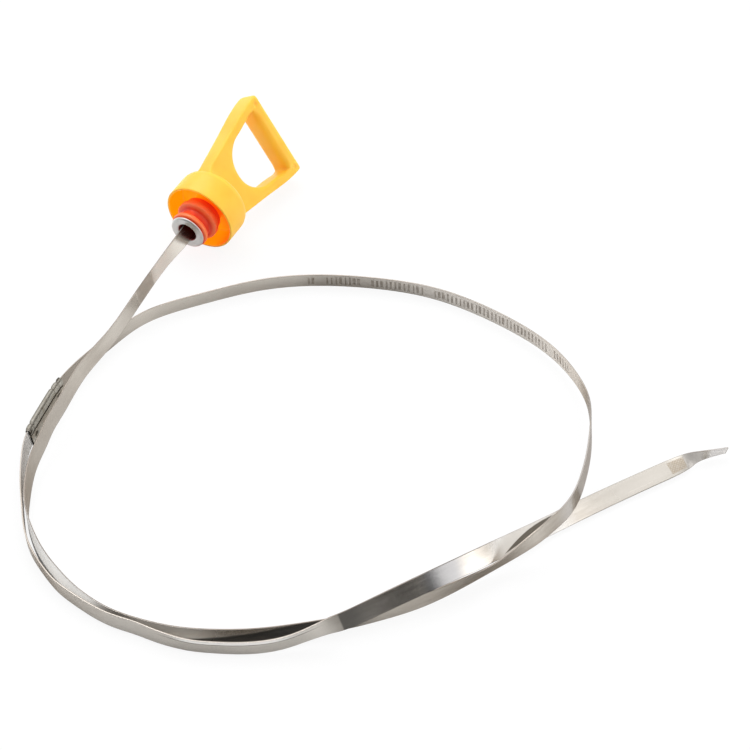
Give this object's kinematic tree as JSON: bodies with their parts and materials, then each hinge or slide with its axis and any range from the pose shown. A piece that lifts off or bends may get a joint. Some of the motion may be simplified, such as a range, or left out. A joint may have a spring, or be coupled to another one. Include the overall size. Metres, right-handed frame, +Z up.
{
  "type": "engine oil dipstick",
  "caption": "Coiled flat spring-steel dipstick with a folded splice and twisted tip, flanged ferrule, ribbed seal, and a moulded cap with a D-shaped finger grip.",
  "frame": {"origin": "centre of the bounding box's base, on the plane the dipstick lies on", "axes": "+Z up from the plane it lies on; the grip's axis runs along +Y, tilted 6.5 degrees up towards the crossbar; the coil lies to the grip's -Y and +X side"},
  "size_m": [0.2346, 0.2291, 0.0387],
  "materials": {
    "grip": "moulded, satin",
    "seal": "moulded silicone, satin",
    "ferrule": "plated, soft sheen",
    "blade": "rolled strip, satin",
    "splice": "folded sheet, dull"
  },
  "bodies": {
    "root": {"handle": "grip", "seal": "seal", "ferrule": "ferrule", "upper_blade": "blade", "lower_blade": "blade", "splice": "splice"}
  },
  "joints": []
}
